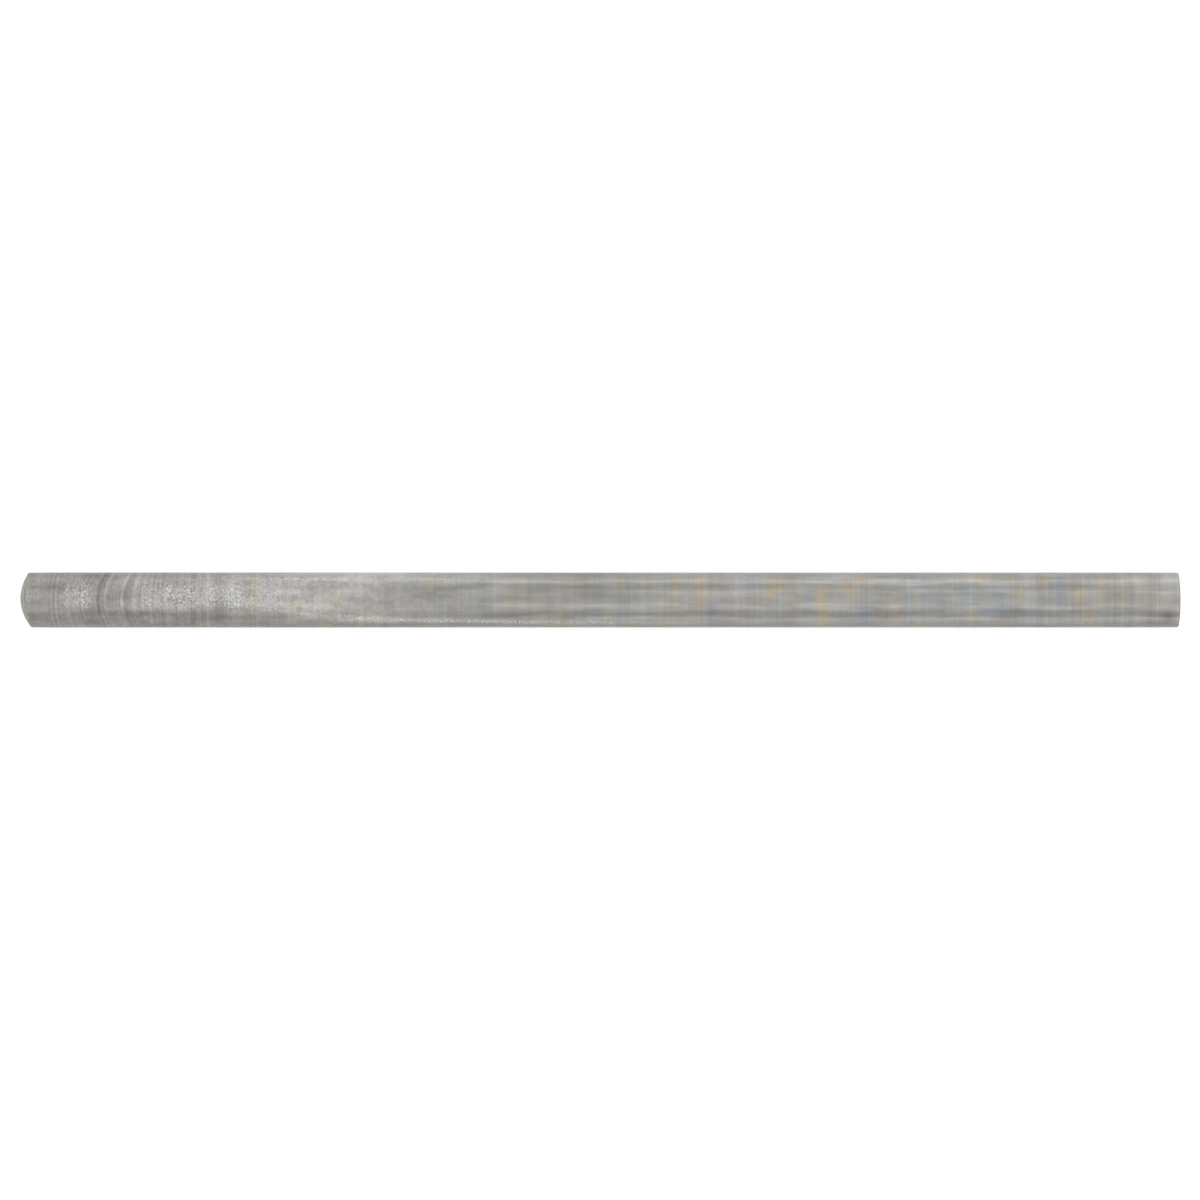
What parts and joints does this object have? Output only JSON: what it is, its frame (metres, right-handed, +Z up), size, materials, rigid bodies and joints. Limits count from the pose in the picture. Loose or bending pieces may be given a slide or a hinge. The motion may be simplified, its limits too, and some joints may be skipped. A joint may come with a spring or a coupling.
{
  "type": "blending stump",
  "caption": "Straight stick of tightly rolled grey paper under a smooth hard cover, low crown on one end and the other cut square, for smudging and shading dry drawing media.",
  "frame": {"origin": "under the middle of the stick, on the surface that it lies on", "axes": "+X along the stick towards its square-cut end, +Z up, so the low crown is at -X"},
  "size_m": [0.1334, 0.0064, 0.0063],
  "materials": {
    "twisted_paper": "matt, twisted hard",
    "soft_paper": "matt, felted, plies visible on the ends",
    "cover_paper": "satin, calendered and burnished on a wheel, fine rings round the stick",
    "dried_paste": "semi-gloss, dried hard"
  },
  "bodies": {
    "root": {"core_pin": "twisted_paper", "start_paste": "dried_paste", "wound_strip": "soft_paper", "tail_paste": "dried_paste", "cover_wrap": "cover_paper", "seam_paste": "dried_paste"}
  },
  "joints": []
}
